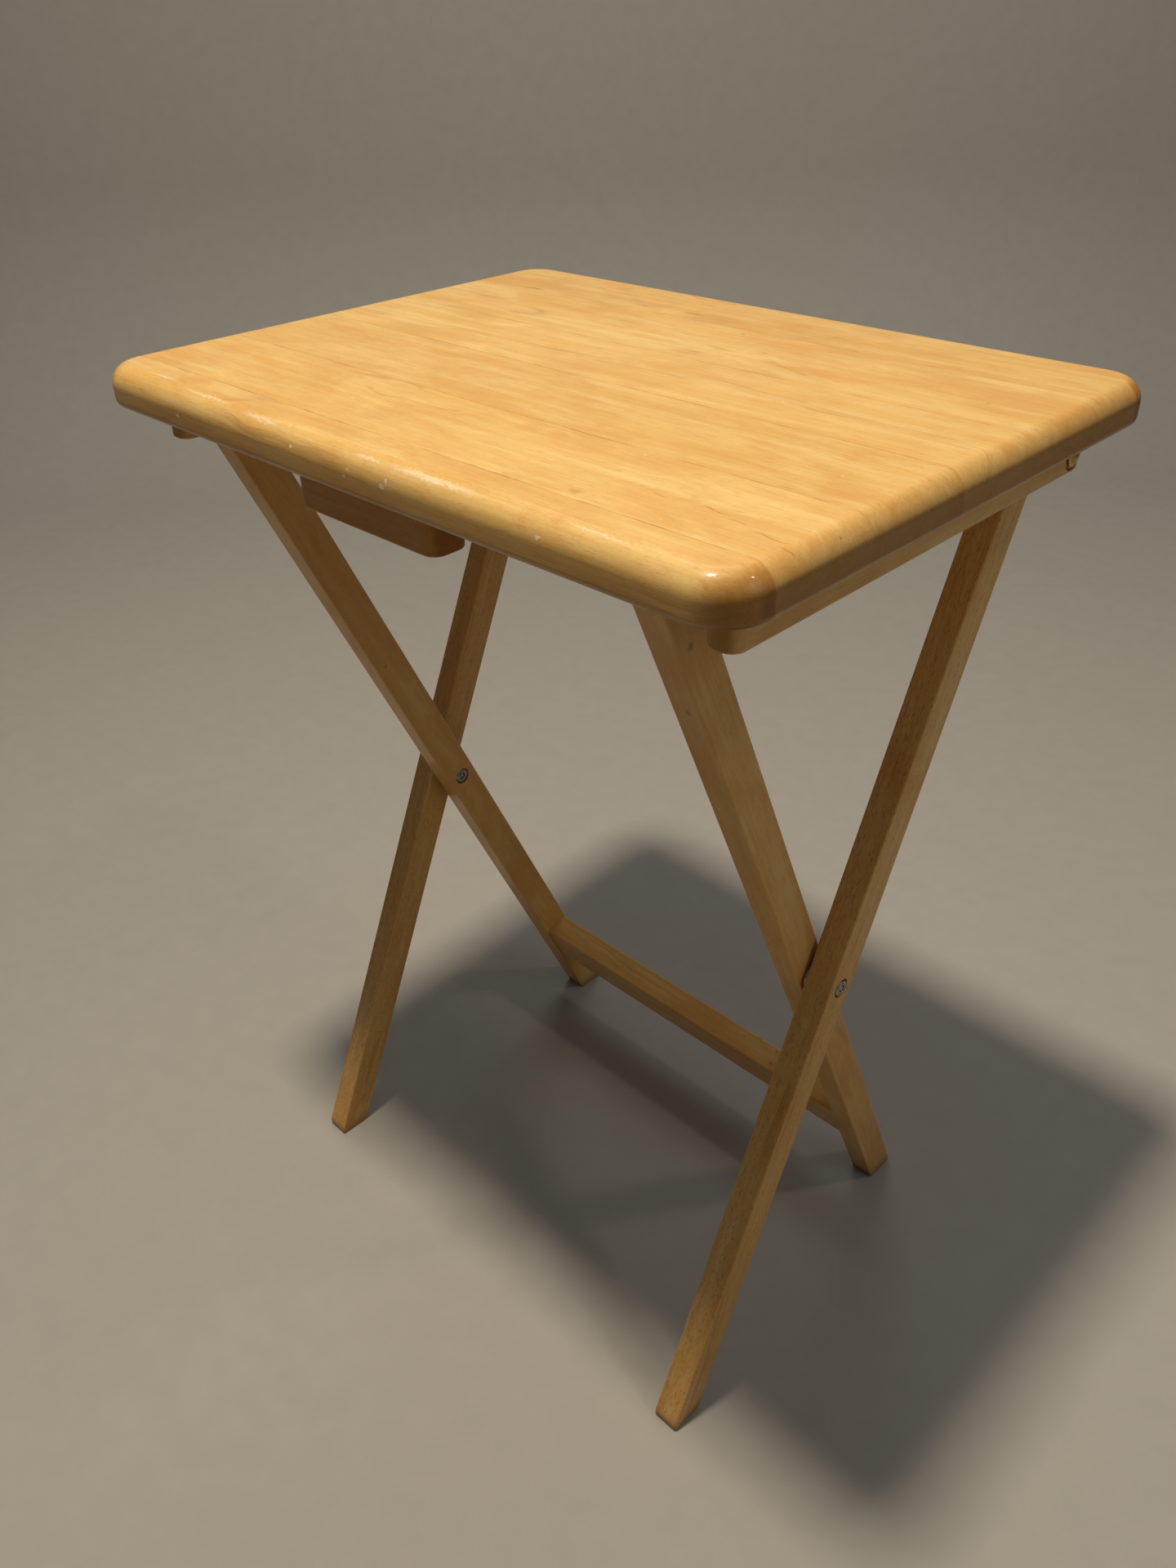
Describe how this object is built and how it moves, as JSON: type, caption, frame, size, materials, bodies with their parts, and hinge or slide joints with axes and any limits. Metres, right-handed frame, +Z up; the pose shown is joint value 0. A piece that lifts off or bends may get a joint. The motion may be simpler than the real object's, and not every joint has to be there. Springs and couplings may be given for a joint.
{
  "type": "folding side table",
  "caption": "Folding wood side table: rounded rectangular top on crossed, riveted leg frames, tied by a rail, a stretcher and cleats under the top.",
  "frame": {"origin": "on the floor, under the centre of the tabletop", "axes": "X along the tabletop, from the left frames to the right ones; +Y across it, towards the side the top hinges on; +Z up"},
  "size_m": [0.486, 0.367, 0.66],
  "materials": {
    "top_wood": "clear satin lacquer over honey-coloured wood",
    "leg_wood": "clear satin lacquer over golden-brown wood",
    "zinc_steel": "dull zinc plate",
    "brass_plate": "dull yellow plate"
  },
  "bodies": {
    "outer_frame": {"outer_leg_left": "leg_wood", "outer_leg_right": "leg_wood", "crossing_rivet_left": "zinc_steel", "crossing_rivet_right": "zinc_steel", "rivet_washer_left": "zinc_steel", "rivet_washer_right": "zinc_steel", "leg_spacer_left": "zinc_steel", "leg_spacer_right": "zinc_steel", "cleat_spacer_left": "zinc_steel", "cleat_spacer_right": "zinc_steel", "pivot_nut_left": "zinc_steel", "pivot_nut_right": "zinc_steel"},
    "inner_frame": {"inner_leg_left": "leg_wood", "inner_leg_right": "leg_wood", "top_rail": "leg_wood", "rail_brads": "zinc_steel", "lower_stretcher": "leg_wood", "stretcher_dowels": "leg_wood"},
    "hinge_bolts": {"pivot_bolt_left": "brass_plate", "pivot_bolt_right": "brass_plate", "bolt_washer_left": "brass_plate", "bolt_washer_right": "brass_plate"},
    "tabletop": {"top_board_1": "top_wood", "top_board_2": "top_wood", "top_board_3": "top_wood", "top_board_4": "top_wood", "top_board_5": "top_wood", "top_board_6": "top_wood", "cleat_left": "leg_wood", "cleat_right": "leg_wood", "stop_block": "leg_wood", "cleat_screws": "zinc_steel", "block_screws": "zinc_steel"}
  },
  "joints": [
    {"name": "top_tilt", "type": "hinge", "parent": "outer_frame", "child": "hinge_bolts", "pos_m": [0, 0.1378, 0.6225], "axis": [-1, 0, 0], "range_deg": [0, 24]},
    {"name": "leg_fold", "type": "hinge", "parent": "outer_frame", "child": "inner_frame", "pos_m": [0, 0, 0.313], "axis": [-1, 0, 0], "range_deg": [0, 48]},
    {"name": "top_lift", "type": "hinge", "parent": "hinge_bolts", "child": "tabletop", "pos_m": [0, 0.1378, 0.6225], "axis": [-1, 0, 0], "range_deg": [0, 90]}
  ],
  "couplings": [
    {"joint": "leg_fold", "follows": "top_tilt", "ratio": 2}
  ]
}
